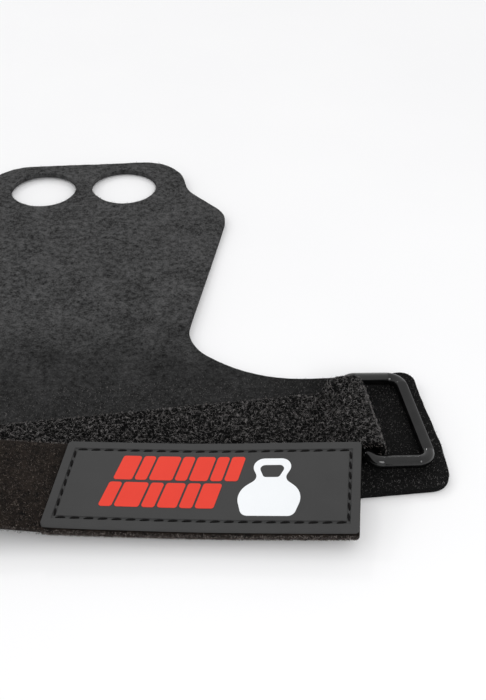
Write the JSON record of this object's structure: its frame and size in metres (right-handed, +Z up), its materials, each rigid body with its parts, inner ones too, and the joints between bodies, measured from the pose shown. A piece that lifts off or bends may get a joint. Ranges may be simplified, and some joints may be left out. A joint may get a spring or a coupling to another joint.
{
  "type": "gymnastics hand grip",
  "caption": "Flat suede hand grip with finger holes, a palm flap that folds, and a fleece wrist strap with a wire ring and a labelled free end.",
  "frame": {"origin": "middle of the wrist band's underside, on the palm's middle line", "axes": "+X along the wrist band towards the wire ring, +Y towards the finger holes, +Z up out of the suede"},
  "size_m": [0.1878, 0.1903, 0.0111],
  "materials": {
    "suede": "matt napped suede",
    "fleece": "looped pile",
    "strap_back": "brushed strap back",
    "hook_tape": "coarse hooks",
    "rubber": "matt moulded rubber",
    "thread": "twisted thread",
    "coated_wire": "glossy black coating"
  },
  "bodies": {
    "wrist": {"wrist_band": "suede", "wrist_strap": "fleece", "strap_ring_loop": "fleece", "strap_turn": "fleece", "band_box_stitch": "thread", "loop_bar_tack": "thread"},
    "palm": {"palm_flap": "suede"},
    "tail": {"strap_tail": "strap_back", "hook_patch": "hook_tape", "rubber_label": "rubber", "label_thread": "thread"},
    "wire_ring": {"ring": "coated_wire"}
  },
  "joints": [
    {"name": "palm_fold", "type": "hinge", "parent": "wrist", "child": "palm", "pos_m": [0, 0.042, 0.0016], "axis": [1, 0, 0], "range_deg": [0, 150]},
    {"name": "strap_open", "type": "hinge", "parent": "wrist", "child": "tail", "pos_m": [-0.089, -0.00706, 0.0057], "axis": [-0.0341, -0.9994, 0], "range_deg": [0, 170], "deforming": ["strap_turn"]},
    {"name": "ring_swing", "type": "hinge", "parent": "wrist", "child": "wire_ring", "pos_m": [0.0723, 0.00139, 0.0054], "axis": [0.0523, -0.9986, 0], "range_deg": [0, 95]}
  ]
}
